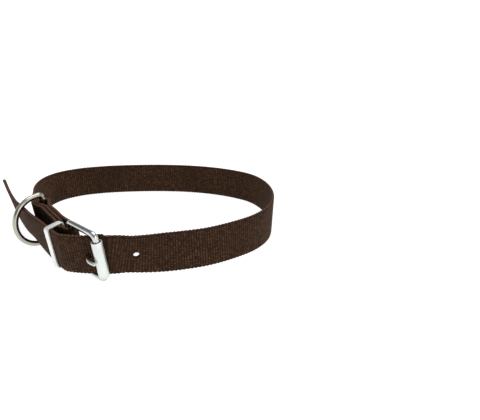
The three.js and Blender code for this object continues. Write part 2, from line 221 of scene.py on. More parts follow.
def axes(azimuth, lean):
    """Unit axes for a plan azimuth: u along the strip, n outwards, w up and leaning outwards."""
    a, tilt = np.radians([azimuth, lean])
    u = np.array([np.cos(a), np.sin(a), 0.0])
    outward = np.array([np.sin(a), -np.cos(a), 0.0])
    w = np.array([0.0, 0.0, np.cos(tilt)]) + outward * np.sin(tilt)
    return {"u": u, "n": np.cross(u, w), "w": w}


def swung(base, angle):
    """The same axes turned about w by the angle, backwards where it is positive."""
    turn = np.radians(angle)
    u = base["u"] * np.cos(turn) - np.cross(base["w"], base["u"]) * np.sin(turn)
    return {**base, "u": u, "n": np.cross(u, base["w"])}


def place(at, u, n, w=0.0):
    """Points at distances u, n and w along a placed frame's axes."""
    u, n, w = (np.asarray(x, float)[..., None] for x in (u, n, w))
    return at["p"] + at["u"] * u + at["n"] * n + at["w"] * w


buckle_axes = axes(buckle_azimuth, buckle_lean)
fold_axes = swung(buckle_axes, fold_swing)
bar_centre = np.array([
    bar_share_x * loop_length / 2,
    bar_share_y * loop_width / 2,
    frame_half * buckle_axes["w"][2] + wire_radius,
])


def buckle_frame(distance):
    """The buckle's axes, placed at a distance from the bar towards the roller."""
    return {**buckle_axes, "p": bar_centre + buckle_axes["u"] * distance}


def fold_frame(distance):
    """Frames at distances back from the bar along the fold's line, which rises a little to the ring."""
    back = np.asarray(distance, float)[..., None]
    rise = fold_rise * back / ring_distance
    return {**fold_axes, "p": bar_centre - fold_axes["u"] * back + fold_axes["w"] * rise}


# The fold's layers: distance back from the bar, and how far the layer lies from the fold's line
layer_pitch = webbing_thickness + layer_clearance
bar_offset = wire_radius + layer_clearance + half_thick
keeper_turn = np.radians(keeper_swing)
keeper_half = (keeper_thickness * np.cos(keeper_turn) + keeper_band * np.sin(keeper_turn)) / 2
keeper_offset = keeper_half + layer_clearance + half_thick
ring_offset = ring_radius + ring_clearance + half_thick
fold_middle = (keeper_distance + ring_distance) / 2
outer_layer = np.array([
    (fold_past_bar, bar_offset),
    (keeper_distance - keeper_band / 2, keeper_stand_off + keeper_offset),
    (keeper_distance + keeper_band / 2, keeper_stand_off + keeper_offset),
    (keeper_distance + fold_ease, fold_stand_off),
    (fold_middle, fold_stand_off),
    (ring_distance - fold_ease, fold_stand_off),
    (ring_distance - ring_radius, ring_offset + layer_pitch),
    (ring_distance + ring_radius, ring_offset + layer_pitch),
    (ring_distance + fold_past_ring, fold_stand_off),
])
inner_layer = np.array([
    (fold_past_bar, -bar_offset),
    (keeper_distance + fold_ease, fold_stand_off - 2 * layer_pitch),
    (fold_middle, fold_stand_off - 2 * layer_pitch),
    (ring_distance - fold_ease, fold_stand_off - 2 * layer_pitch),
    (ring_distance - ring_radius, -ring_offset),
])
turned_layer = np.array([
    (ring_distance - ring_radius, ring_offset),
    (ring_distance - fold_ease, fold_stand_off - layer_pitch),
    (ring_distance - fold_turned_length / 2, fold_stand_off - layer_pitch),
    (ring_distance - fold_turned_length, fold_stand_off - layer_pitch),
])

# The strip in the buckle: share of the buckle's length, and reach outwards
behind_roller = -(roller_radius + layer_clearance + half_thick)
against_keeper = keeper_stand_off + keeper_reach * np.cos(keeper_turn) - keeper_offset
buckle_run = np.array([
    (1.0, behind_roller * 1.13),
    (0.9, behind_roller * 1.04),
    (0.78, behind_roller * 0.2),
    (0.62, against_keeper * 0.28),
    (0.44, against_keeper * 0.59),
    (0.27, against_keeper * 0.83),
    (0.12, against_keeper * 0.98),
])

# The strip from the keeper to the ring, as shares: distance, reach outwards, rise, lean
tail_run = np.array([
    (0.0, 0.0, 0.0, 0.0),
    (0.3, 0.5, 0.0, 0.2),
    (0.65, 0.95, 0.5, 0.7),
    (1.0, 1.0, 1.0, 1.0),
])

# The tail past the ring: share of its turn, lift as a share of the webbing's width, lean
tail_end = np.array([
    (0.2, 0.11, 13.5),
    (0.6, 0.1, 12.5),
    (0.9, 0.1, 11.5),
    (1.0, 0.1, 10.5),
])

# The neck loop from the roller round to the fold: x and y as shares of its halves, share of the lift, lean
neck_loop = np.array([
    (0.035, -0.948, 0.6, 9),
    (0.145, -0.905, 0.25, 3),
    (0.257, -0.863, 0.08, -3),
    (0.353, -0.828, 0.0, -4),
    (0.515, -0.765, 0.0, -3),
    (0.68, -0.652, 0.0, -3),
    (0.84, -0.495, 0.0, -2),
    (0.94, -0.31, 0.0, 0),
    (0.985, -0.08, 0.0, 3),
    (0.985, 0.17, 0.0, 3),
    (0.935, 0.43, 0.0, 1),
    (0.83, 0.64, 0.0, 0),
    (0.66, 0.793, 0.0, 0),
    (0.45, 0.905, 0.0, 0),
    (0.21, 0.975, 0.0, 0),
    (-0.06, 1.0, 0.0, 0),
    (-0.34, 0.985, 0.0, 0),
    (-0.58, 0.94, 0.0, 0),
    (-0.77, 0.86, 0.0, 0),
    (-0.9, 0.735, 0.05, 0),
    (-0.965, 0.575, 0.15, 1),
    (-0.975, 0.39, 0.3, 2),
    (-0.935, 0.17, 0.55, 3),
    (-0.865, -0.03, 0.8, 5),
])


def leaning(azimuth, leans):
    """Upward directions of the strip for one plan azimuth and several leans, one row each."""
    return np.array([axes(azimuth, lean)["w"] for lean in leans])


def tail_stations():
    """Stations from the tip to the ring: equal steps along the turning azimuth."""
    start = place(fold_frame(ring_distance), 0, tail_offset_at_ring, tail_rise_at_ring)
    step = tail_past_ring / len(tail_end)
    azimuths = buckle_azimuth - fold_swing + tail_turn * tail_end[:, 0]
    frames = [axes(a, lean) for a, lean in zip(azimuths, tail_end[:, 2])]
    points = start - step * np.cumsum([f["u"] for f in frames], axis=0)
    ups = np.array([f["w"] for f in frames])
    points[:, 2] = tail_end[:, 1] * webbing_width + half_width * ups[:, 2]
    return points[::-1], ups[::-1]


def keeper_to_ring():
    """Stations from the ring to the keeper: each value is a share of the way between those at the two."""
    share, out, rise, lean = tail_run.T
    distance = keeper_distance + (ring_distance - keeper_distance) * share
    reach = against_keeper + (tail_offset_at_ring - against_keeper) * out
    points = place(fold_frame(distance), 0, reach, rise * tail_rise_at_ring)
    leans = buckle_lean + (tail_lean_at_ring - buckle_lean) * lean
    return points[::-1], leaning(buckle_azimuth - fold_swing, leans)[::-1]


def through_buckle():
    """Stations from the keeper to the roller, at shares of the buckle's length and at the table's reach."""
    points = place(buckle_frame(0), buckle_run[:, 0] * buckle_length, buckle_run[:, 1])
    return points[::-1], np.tile(buckle_axes["w"], (len(points), 1))


def round_neck():
    """The loop's stations, lifted at the buckle and leaning in or out as the table says."""
    lift_at_buckle = bar_centre[2] - half_width
    plan = neck_loop[:, :2] * [loop_length / 2, loop_width / 2]
    ends = np.clip(np.arange(len(plan))[:, None] + [-1, 1], 0, len(plan) - 1)
    heading = unit(plan[ends[:, 1]] - plan[ends[:, 0]])
    tilt = np.radians(neck_loop[:, 3])
    ups = np.stack([
        heading[:, 1] * np.sin(tilt), -heading[:, 0] * np.sin(tilt), np.cos(tilt),
    ], axis=1)
    foot = (half_thick - selvedge_round) * np.abs(np.sin(tilt))
    height = neck_loop[:, 2] * lift_at_buckle + half_width * np.cos(tilt) + foot
    return np.column_stack([plan, height]), ups


def layer_stations(layer):
    """Stations at a layer's distances back from the bar and its offsets from the fold's line."""
    points = place(fold_frame(layer[:, 0]), 0, layer[:, 1])
    return points, np.tile(fold_axes["w"], (len(points), 1))


def half_turn(distance, radius, start, stop):
    """Half a circle about the fold's line at a distance: round the bar or round the ring."""
    angle = np.radians(np.linspace(start, stop, half_turn_points))
    points = place(fold_frame(distance), radius * np.cos(angle), radius * np.sin(angle))
    return points, np.tile(fold_axes["w"], (len(points), 1))


def spline(points, steps):
    """A smooth curve through the points: on each span a cubic from one end's slope to the other's.
    The slope at a point weighs the spans beside it by the square roots of their lengths."""
    first = 2 * points[:1] - points[1:2]
    last = 2 * points[-1:] - points[-2:-1]
    p = np.vstack([first, points, last])
    a, b, c, d = p[:-3], p[1:-2], p[2:-1], p[3:]
    spans = ((a, b), (b, c), (c, d))
    ab, bc, cd = (np.sqrt(np.linalg.norm(y - x, axis=1))[:, None] for x, y in spans)
    slope_b = ((b - a) / ab - (c - a) / (ab + bc) + (c - b) / bc) * bc
    slope_c = ((c - b) / bc - (d - b) / (bc + cd) + (d - c) / cd) * bc
    t = (np.arange(steps) / steps)[None, :, None]
    b, c, slope_b, slope_c = (x[:, None, :] for x in (b, c, slope_b, slope_c))
    curve = b + slope_b * t + (3 * (c - b) - 2 * slope_b - slope_c) * t**2
    curve = curve + (2 * (b - c) + slope_b + slope_c) * t**3
    return np.vstack([curve.reshape(-1, points.shape[1]), points[-1:]])


def resampled(s, run, values):
    """Every column of the values, known at the lengths run, read between them at the lengths s."""
    return np.stack([np.interp(s, run, column) for column in values.T], axis=-1)


def blended(values, steps):
    """Values of the stations, carried evenly from each to the next."""
    span = np.arange((len(values) - 1) * steps + 1) / steps
    return resampled(span, np.arange(len(values)), values)


def lengths(points):
    """Length along a path at each of its points: the running sum of the distances between them."""
    return np.concatenate([[0.0], np.cumsum(np.linalg.norm(np.diff(points, axis=0), axis=1))])


def smooth_rows(values, reach):
    """Each row averaged with its neighbours, the nearest most, so that nothing turns in a kink."""
    offset = np.arange(-reach, reach + 1)
    weight = np.cos(offset / (reach + 1) * np.pi / 2) ** 2
    weight = weight / weight.sum()
    padded = np.pad(values, ((reach, reach), (0, 0)), mode="edge")
    return np.stack([np.convolve(column, weight, mode="valid") for column in padded.T], axis=1)


class Strip:
    """The webbing's centre line in equal steps, with its upward and its thickness direction at each:
    up is made square to the line, and across is square to both."""

    def __init__(self, points, ups):
        fine, up = spline(points, span_steps), blended(ups, span_steps)
        run = lengths(fine)
        self.length = run[-1]
        self.s = np.arange(0, self.length, strip_step)
        self.p = resampled(self.s, run, fine)
        tangent = unit(smooth_rows(np.gradient(self.p, axis=0), tangent_reach))
        up = smooth_rows(resampled(self.s, run, up), up_reach)
        self.up = unit(up - tangent * np.sum(up * tangent, axis=1, keepdims=True))
        self.across = unit(np.cross(tangent, self.up))

    def at(self, s, up, across):
        """Points at lengths s, up the strip's width and out along its thickness."""
        p, u, a = (resampled(s, self.s, values) for values in (self.p, self.up, self.across))
        return p + u * np.asarray(up)[..., None] + a * np.asarray(across)[..., None]

    def nearest(self, point):
        """Length along the strip at its sample nearest to a point."""
        return self.s[np.argmin(np.linalg.norm(self.p - point, axis=1))]


def joined(*runs):
    """Runs of stations one after the other."""
    return np.vstack([r[0] for r in runs]), np.vstack([r[1] for r in runs])


def reversed_run(run):
    """A run's stations in the other order."""
    return run[0][::-1], run[1][::-1]


strip = Strip(*joined(
    tail_stations(), keeper_to_ring(), through_buckle(), round_neck(),
    reversed_run(layer_stations(outer_layer)), half_turn(0, bar_offset, 90, -90),
    layer_stations(inner_layer), half_turn(ring_distance, ring_offset, 270, 90),
    layer_stations(turned_layer),
))


# The prong's shank: share of the buckle's length, and reach outwards from the plane of the wires
prong_eye = wire_radius + layer_clearance + prong_radius
prong_rest = roller_radius + layer_clearance + prong_radius
prong_run = np.array([
    (0.16, prong_eye * 0.85),
    (0.34, prong_eye * 0.48),
    (0.55, prong_eye * 0.2),
    (0.67, prong_eye * 0.36),
    (0.76, prong_rest * 0.82),
    (0.86, prong_rest * 1.1),
    (0.94, prong_rest * 1.11),
    (1.0, prong_rest * 1.02),
])


def prong_path():
    """Distances along u and n: an arc round the bar, then a smooth shank up through the strip."""
    angle = np.radians(np.linspace(90 + prong_eye_wrap, 90, prong_eye_points))
    eye = prong_eye * np.column_stack([np.cos(angle), np.sin(angle)])
    shank = prong_run * [buckle_length, 1]
    tip = [[buckle_length + prong_overhang, prong_rest]]
    curve = spline(np.vstack([eye[-1:], shank, tip]), prong_span_steps)
    return np.vstack([eye, curve[1:]])


def prong_places(path):
    """The prong's path in space: past the start of its droop it sinks in proportion to the distance."""
    past = np.maximum(path[:, 0] / buckle_length - prong_droop_from, 0) / (1 - prong_droop_from)
    return place(buckle_frame(0), path[:, 0], path[:, 1], -prong_droop * past)


# The roller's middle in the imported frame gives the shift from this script's places to that frame
roller_centre = place(buckle_frame(buckle_length), 0, 0, -roller_drop)
roller_box = np.array(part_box("roller")) * 1000
row_shift = roller_box.mean(axis=0) - roller_centre


def scene_object(name, data):
    """A new object of the scene for a mesh, a light or a camera."""
    thing = bpy.data.objects.new(name, data)
    bpy.context.scene.collection.objects.link(thing)
    return thing


def smooth_mesh(name, points, faces, material):
    """A mesh from points in metres and faces, shaded smooth."""
    mesh = bpy.data.meshes.new(name)
    mesh.from_pydata(points.tolist(), [], faces)
    mesh.polygons.foreach_set("use_smooth", np.ones(len(mesh.polygons), bool))
    mesh.materials.append(material)
    return mesh


def make_piece(name, points, faces, body, replaced, material, attributes=None):
    """A piece from points in millimetres and faces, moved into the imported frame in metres, on its body."""
    mesh = smooth_mesh(name, (points + row_shift) / 1000, faces, material)
    for key, values in (attributes or {}).items():
        layer = mesh.attributes.new(key, "FLOAT", "POINT")
        layer.data.foreach_set("value", np.asarray(values, np.float32))
    mesh.update()
    piece = scene_object(name, mesh)
    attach(piece, body)
    if replaced:
        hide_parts(replaced)
    return piece


def grid_faces(rows, columns, close_rows, close_columns):
    """Quads of a grid of points, row after row, closed on itself either way where asked."""
    r = np.arange(rows if close_rows else rows - 1)
    c = np.arange(columns if close_columns else columns - 1)
    r, c = (x.ravel() for x in np.meshgrid(r, c, indexing="ij"))
    r1, c1 = (r + 1) % rows, (c + 1) % columns
    return np.column_stack([r * columns + c, r1 * columns + c, r1 * columns + c1, r * columns + c1])


def outward(points, faces):
    """The faces turned round where they enclose a negative volume."""
    a, b, c = (points[faces[:, k]] for k in range(3))
    d = points[faces[:, 3]]
    volume = np.sum(a * np.cross(b, c)) + np.sum(a * np.cross(c, d))
    return faces[:, ::-1] if volume < 0 else faces


def tube(path, normal, radii, sides, closed):
    """A round tube along a flat path: circles square to the path, in the path's normal and its side.
    The third value is how far each point faces the outline's middle, from 0 to 1."""
    before, after = np.roll(path, 1, axis=0), np.roll(path, -1, axis=0)
    if not closed:
        before[0], after[-1] = path[0], path[-1]
    side = unit(np.cross(unit(after - before), normal))
    turn = 2 * np.pi * np.arange(sides) / sides
    circle = side[:, None] * np.cos(turn)[None, :, None] + normal * np.sin(turn)[None, :, None]
    points = path[:, None] + circle * np.broadcast_to(radii, len(path))[:, None, None]
    points = points.reshape(-1, 3)
    faces = outward(points, grid_faces(len(path), sides, closed, True))
    into = np.sum(circle * unit(path.mean(axis=0) - path)[:, None], axis=2)
    return points, faces, np.clip(into, 0, 1).ravel()


def capped(points, faces, sides):
    """The tube's faces with one many-sided face at each end, turned the same way as the tube's."""
    start = list(range(sides))
    end = list(range(len(points) - sides, len(points)))
    rising = faces[0].tolist() == [0, sides, sides + 1, 1]
    caps = [start, end[::-1]] if rising else [start[::-1], end]
    return faces.tolist() + caps


def arc(centre_u, centre_v, radius, start, stop, steps=corner_steps):
    """Points on a circle from the start angle to the stop angle, in equal steps."""
    angle = np.radians(np.linspace(start, stop, steps + 1))
    return np.column_stack([centre_u + radius * np.cos(angle), centre_v + radius * np.sin(angle)])


def rounded_outline(length, half, near_corner, far_corner):
    """A closed rectangle from 0 to length and from -half to half, its corners quarter circles."""
    return np.vstack([
        arc(near_corner, near_corner - half, near_corner, 180, 270),
        arc(length - far_corner, far_corner - half, far_corner, 270, 360),
        arc(length - far_corner, half - far_corner, far_corner, 0, 90),
        arc(near_corner, half - near_corner, near_corner, 90, 180),
    ])


def evenly(outline, step):
    """The closed outline walked in equal steps, after its doubled points are dropped."""
    ring = np.vstack([outline, outline[:1]])
    keep = np.concatenate([[True], np.linalg.norm(np.diff(ring, axis=0), axis=1) > tiny])
    ring = ring[keep]
    run = lengths(ring)
    s = np.linspace(0, run[-1], int(run[-1] / step) + 1)[:-1]
    return resampled(s, run, ring)


# Colours
groove_brown = (0.005, 0.0027, 0.0012, 1)
dash_brown = (0.13, 0.06, 0.0275, 1)
patch_brown = (0.014, 0.0075, 0.004, 1)
fibre_brown = (0.13, 0.066, 0.042, 1)
# painted shade: near black brown for the fold's outer face, shadowed between the layers
fold_shadow_brown = (0.004, 0.003, 0.0015, 1)
# painted shadow: the dark band just inside each selvedge
selvedge_shadow_brown = (0.006, 0.004, 0.0025, 1)
# partly wear, partly painted highlight: the paler selvedge loops
worn_and_highlit_loop_brown = (0.215, 0.104, 0.07, 1)
singed_brown = (0.012, 0.007, 0.006, 1)
sheen_brown = (0.8, 0.42, 0.24, 1)
thread_dark = (0.02, 0.0095, 0.005, 1)
thread_light = (0.085, 0.04, 0.02, 1)
wire_silver = (0.64, 0.65, 0.635, 1)
ring_silver = (0.46, 0.445, 0.385, 1)
roller_silver = (0.76, 0.8, 0.765, 1)
keeper_silver = (0.94, 0.94, 0.91, 1)
# painted reflection: the dark grey laid on the wire's inner side
dark_reflection_grey = (0.03, 0.028, 0.024, 1)
floor_grey = (0.35, 0.35, 0.35, 1)
glow_white = (1, 1, 1, 1)
sky_below = (0.12, 0.12, 0.12, 1)
sky_level = (0.16, 0.16, 0.165, 1)
sky_above = (0.5, 0.5, 0.5, 1)

# Pattern sizes: noise cells for each millimetre of webbing, each dash, or each metre of Object coordinates
yarn_drift = 0.22
dash_cells = 7.37
fibre_along = 2.6
fibre_across = 8.0
patch_cells = 30.0
thread_cells = 2600.0
ripple_cells = 90.0
grain_cells = 900.0

# Relief in metres
weave_relief = 0.0003
thread_relief = 0.0001
plate_relief = 0.0004

# Bands along the selvedges, as distances from the middle of the webbing
shade_starts = half_width - 1.4
shade_full = half_width - 0.6
loops_start = half_width - 0.45


# Materials
class Shader:
    """A material's node tree with short calls for the nodes that the finishes need."""

    def __init__(self, name):
        self.material = bpy.data.materials.new(name)
        self.material.use_nodes = True
        self.tree = self.material.node_tree
        self.surface = self.tree.nodes["Principled BSDF"]

    def add(self, kind, **settings):
        """A new node with its settings."""
        node = self.tree.nodes.new(kind)
        for key, value in settings.items():
            setattr(node, key, value)
        return node

    def put(self, value, target):
        """A plain value, or another node's output, into an input."""
        if isinstance(value, bpy.types.NodeSocket):
            self.tree.links.new(value, target)
        else:
            target.default_value = value

    def maths(self, operation, a, b=0.0, clamp=False):
        """One step of arithmetic on two values."""
        node = self.add("ShaderNodeMath", operation=operation, use_clamp=clamp)
        self.put(a, node.inputs[0])
        self.put(b, node.inputs[1])
        return node.outputs[0]

    def mix(self, share, a, b):
        """Colour a carried towards colour b by a share: the colours are inputs 6 and 7 and output 2."""
        node = self.add("ShaderNodeMix", data_type="RGBA")
        self.put(share, node.inputs[0])
        self.put(a, node.inputs[6])
        self.put(b, node.inputs[7])
        return node.outputs[2]

    def attribute(self, name):
        """A value that the mesh carries at its points."""
        return self.add("ShaderNodeAttribute", attribute_name=name).outputs["Fac"]

    def place(self):
        """Object coordinates, in metres."""
        return self.add("ShaderNodeTexCoord").outputs["Object"]

    def noise(self, vector, scale, detail=3.0, roughness=0.5):
        """Soft random values about a half, with cells of one unit over the scale."""
        node = self.add("ShaderNodeTexNoise")
        self.put(vector, node.inputs["Vector"])
        node.inputs["Scale"].default_value = scale
        node.inputs["Detail"].default_value = detail
        node.inputs["Roughness"].default_value = roughness
        return node.outputs["Fac"]

    def vector(self, x, y):
        """Two values as a vector in the plane."""
        node = self.add("ShaderNodeCombineXYZ")
        for value, target in zip((x, y), node.inputs):
            self.put(value, target)
        return node.outputs[0]

    def remap(self, value, low, high, to_low, to_high):
        """A value carried in proportion from one range to another, and held at its ends."""
        node = self.add("ShaderNodeMapRange")
        for item, target in zip((value, low, high, to_low, to_high), node.inputs):
            self.put(item, target)
        return node.outputs[0]

    def bump(self, height, strength, distance):
        """The surface's normal tilted by the slope of a height."""
        node = self.add("ShaderNodeBump")
        node.inputs["Strength"].default_value = strength
        node.inputs["Distance"].default_value = distance
        self.put(height, node.inputs["Height"])
        return node.outputs["Normal"]

    def finish(self, **values):
        """The material, with its surface's inputs set: their names are given with _ for each space."""
        for key, value in values.items():
            self.put(value, self.surface.inputs[key.replace("_", " ")])
        return self.material


def webbing_finish():
    """Weave as a grid of raised dashes, the product of a wave along the strip and one across it.
    It is dark in the grooves and lighter or darker by the yarn and by the dash, with slow patches and fine
    fibres over it. Painted shade darkens the fold's outer face, a painted shadow band runs inside each
    selvedge, and the selvedge's loops are paler, partly from wear and partly as a painted highlight. Cut
    ends and holes are singed, dark and smooth."""
    m = Shader("webbing")
    along, across, sear = m.attribute("along"), m.attribute("across"), m.attribute("sear")
    row = m.maths("DIVIDE", across, weave_across)
    dash = m.maths("DIVIDE", along, weave_along)
    bar = m.maths("ABSOLUTE", m.maths("SINE", m.maths("MULTIPLY", dash, np.pi)))
    ridge = m.maths("ABSOLUTE", m.maths("SINE", m.maths("MULTIPLY", row, np.pi)))
    row_number, dash_number = m.maths("FLOOR", row), m.maths("FLOOR", dash)
    yarn = m.noise(m.vector(m.maths("MULTIPLY", along, yarn_drift), row_number), 1.0, 3.0, 0.7)
    each = m.noise(m.vector(dash_number, row_number), dash_cells, 0.0)
    fibre_x = m.maths("MULTIPLY", along, fibre_along)
    fibre_y = m.maths("MULTIPLY", across, fibre_across)
    fibre = m.noise(m.vector(fibre_x, fibre_y), 1.0, 2.0)
    patches = m.noise(m.place(), patch_cells, 2.0)
    weave = m.maths("MULTIPLY", m.maths("POWER", bar, 0.8), m.maths("POWER", ridge, 0.7))
    tone = m.maths("MULTIPLY", weave, m.remap(yarn, 0.3, 0.7, 0.35, 1.2))
    tone = m.maths("MULTIPLY", tone, m.remap(each, 0.3, 0.7, 0.5, 1.35), clamp=True)
    tone = m.maths("POWER", tone, 1.3)
    colour = m.mix(tone, groove_brown, dash_brown)
    colour = m.mix(m.remap(patches, 0.38, 0.68, 0.0, 0.45), colour, patch_brown)
    colour = m.mix(m.remap(fibre, 0.52, 0.8, 0.0, 0.35), colour, fibre_brown)
    # painted shade: the fold's outer face darkened as if in the shadow between the layers
    colour = m.mix(m.maths("MULTIPLY", m.attribute("painted_fold_shade"), 0.75), colour, fold_shadow_brown)
    outwards = m.maths("ABSOLUTE", across)
    # painted shadow: a dark band just inside each selvedge, under its loops
    colour = m.mix(m.remap(outwards, shade_starts, shade_full, 0.0, 0.6), colour, selvedge_shadow_brown)
    # the selvedge loops are paler, partly from wear and partly as a painted highlight
    loops = m.maths("COSINE", m.maths("MULTIPLY", along, 2 * np.pi / picot_pitch))
    edge = m.remap(outwards, loops_start, half_width, 0.0, 1.0)
    edge = m.maths("MULTIPLY", edge, m.remap(loops, -0.6, 0.8, 0.3, 0.72))
    colour = m.mix(edge, colour, worn_and_highlit_loop_brown)
    colour = m.mix(m.maths("MULTIPLY", sear, 0.75), colour, singed_brown)
    height = m.maths("ADD", weave, m.maths("MULTIPLY", fibre, 0.25))
    return m.finish(
        Base_Color=colour,
        Roughness=m.remap(sear, 0.0, 1.0, 0.85, 0.38),
        Sheen_Weight=0.05,
        Sheen_Roughness=0.5,
        Sheen_Tint=sheen_brown,
        Specular_IOR_Level=0.1,
        Normal=m.bump(height, 0.9, weave_relief),
    )


def thread_finish():
    """Sewing thread: one fine grain, which gives both its tone and its relief."""
    m = Shader("thread")
    grain = m.noise(m.place(), thread_cells, 2.0)
    return m.finish(
        Base_Color=m.mix(grain, thread_dark, thread_light),
        Roughness=0.7,
        Specular_IOR_Level=0.15,
        Sheen_Weight=0.04,
        Sheen_Tint=sheen_brown,
        Normal=m.bump(grain, 0.5, thread_relief),
    )


def plate_finish(name, tint, roughness_low, roughness_high, ripple, inner_reflection=0.0, metallic=1.0):
    """Nickel plate: slow ripples in the surface, fine rubbed grain in the gloss and faint darker patches.
    Where it is asked for, a painted dark reflection covers the wire's inner side."""
    m = Shader(name)
    spot = m.place()
    slow = m.noise(spot, ripple_cells, 3.0)
    fine = m.noise(spot, grain_cells, 3.0, 0.6)
    darker = tuple(c * 0.86 for c in tint[:3]) + (1,)
    colour = m.mix(m.remap(slow, 0.35, 0.7, 0.0, 1.0), tint, darker)
    # painted reflection: the wire's inner side darkened as if mirroring the dark strap
    if inner_reflection:
        reflection_share = m.remap(m.attribute("into"), 0.2, 0.65, 0.0, inner_reflection)
        colour = m.mix(reflection_share, colour, dark_reflection_grey)
    height = m.maths("ADD", slow, m.maths("MULTIPLY", fine, 0.06))
    return m.finish(
        Base_Color=colour,
        Metallic=metallic,
        Roughness=m.remap(fine, 0.3, 0.7, roughness_low, roughness_high),
        Normal=m.bump(height, ripple, plate_relief),
    )


webbing_material = webbing_finish()
thread_material = thread_finish()
wire_material = plate_finish("wire_plate", wire_silver, 0.1, 0.2, 0.12, inner_reflection=0.5)
ring_material = plate_finish("ring_plate", ring_silver, 0.14, 0.26, 0.15, inner_reflection=0.92)
roller_material = plate_finish("roller_plate", roller_silver, 0.28, 0.42, 0.15, metallic=0.75)
keeper_material = plate_finish("keeper_plate", keeper_silver, 0.3, 0.44, 0.15, metallic=0.5)


# Webbing
def width_at(s):
    """Half the strip's width: a quarter ellipse at the tip, and small scallops all the way."""
    left = np.clip(1 - s / tip_length, 0, 1)
    half = half_width * (tip_blunt + (1 - tip_blunt) * np.sqrt(1 - left**2))
    scallop = picot_depth * (0.5 + 0.5 * np.cos(2 * np.pi * s / picot_pitch))
    return half - picot_depth * picot_inset + scallop


def hole_places():
    """The prong's hole, the free holes and the slot at the bar: for each the length at its middle, half
    of its straight part, and its radius. The prong's hole is where the strip and the prong come nearest."""
    inner = Strip(*through_buckle())
    gaps = np.linalg.norm(inner.p[:, None] - prong_places(prong_path())[None], axis=2)
    crossing = inner.p[np.unravel_index(np.argmin(gaps), gaps.shape)[0]]
    at_prong = strip.nearest(crossing)
    rows = [(at_prong, (snug_hole_length - snug_hole_diameter) / 2, snug_hole_diameter / 2)]
    for i in range(-holes_towards_tip, holes_towards_neck + 1):
        if i:
            rows.append((at_prong + i * hole_pitch, 0.0, worn_hole_diameter / 2))
    middle = strip.nearest(place(fold_frame(0), bar_offset, 0))
    rows.append((middle, bar_offset * np.pi / 2 + slot_reach - slot_width / 2, slot_width / 2))
    return np.array(rows)


def opened_holes(s, v, sear):
    """One face's grid with its holes. The cells inside each are marked as removed, the corners beside them
    move onto its outline, and it is singed all round. A hole is a slot with half a circle at each end."""
    cell_s = (s[:-1, :-1] + s[1:, 1:]) / 2
    cell_v = (v[:-1, :-1] + v[1:, 1:]) / 2
    removed = np.zeros(cell_s.shape, bool)
    for middle, straight, radius in hole_places():
        ahead = np.clip(cell_s - middle, -straight, straight) + middle
        inside = np.hypot(cell_s - ahead, cell_v) < radius
        removed |= inside
        grown = np.pad(inside, 1)
        corner_in = grown[:-1, :-1] | grown[1:, :-1] | grown[:-1, 1:] | grown[1:, 1:]
        corner_all = grown[:-1, :-1] & grown[1:, :-1] & grown[:-1, 1:] & grown[1:, 1:]
        rim = corner_in & ~corner_all
        ahead = np.clip(s - middle, -straight, straight) + middle
        away = np.hypot(s - ahead, v)
        sear = np.maximum(sear, np.clip(1 - (away - radius) / hole_sear, 0, 1))
        scale = np.where(rim, radius / np.maximum(away, tiny), 1.0)
        s, v = ahead + (s - ahead) * scale, v * scale
    return s, v, sear, removed


def hole_walls(removed):
    """Quads from face to face of the strip along each side that a removed cell shares with a kept one."""

    def front(i, j):
        """Number of the point in row i and column j of the front face."""
        return i * section_points + j

    def back(i, j):
        """Number of the point behind it."""
        return i * section_points + back_start - j

    grown = np.pad(removed, 1)
    inner = grown[1:-1, 1:-1]
    quads = []
    for near, first, second in (
        (grown[1:-1, :-2], (0, 0), (1, 0)),
        (grown[1:-1, 2:], (1, 1), (0, 1)),
        (grown[:-2, 1:-1], (0, 1), (0, 0)),
        (grown[2:, 1:-1], (1, 0), (1, 1)),
    ):
        i, j = np.nonzero(inner & ~near)
        a = (i + first[0], j + first[1])
        b = (i + second[0], j + second[1])
        quads.append(np.column_stack([front(*a), front(*b), back(*b), back(*a)]))
    return np.vstack(quads)


def strip_faces(rows, removed):
    """Quads of the grid without the removed cells of the front face and those behind them, and the holes'
    walls."""
    faces = grid_faces(rows, section_points, False, True)
    row, column = np.divmod(faces[:, 0], section_points)
    behind = back_start - 1 - column
    on_front = column < webbing_columns
    on_back = (behind >= 0) & (behind < webbing_columns)
    gone = np.zeros(len(faces), bool)
    gone[on_front] = removed[row[on_front], column[on_front]]
    gone[on_back] = removed[row[on_back], behind[on_back]]
    return np.vstack([faces[~gone], hole_walls(removed)])


def round_section(front, upper, back, lower):
    """Values up the front face, over the upper selvedge, down the back face and under the lower one."""
    return np.concatenate([front, upper, back[:, ::-1], lower], axis=1)


def fold_shade_share(along):
    """How much painted shade darkens the webbing: fully on the fold's outer layer, easing in from its two
    ends.
    """
    start = strip.nearest(place(fold_frame(ring_distance), 0, ring_offset + layer_pitch))
    end = strip.nearest(place(fold_frame(0), bar_offset, 0))
    return np.clip((along - start) / fold_shade_ease, 0, 1) * np.clip((end - along) / fold_shade_ease, 0, 1)


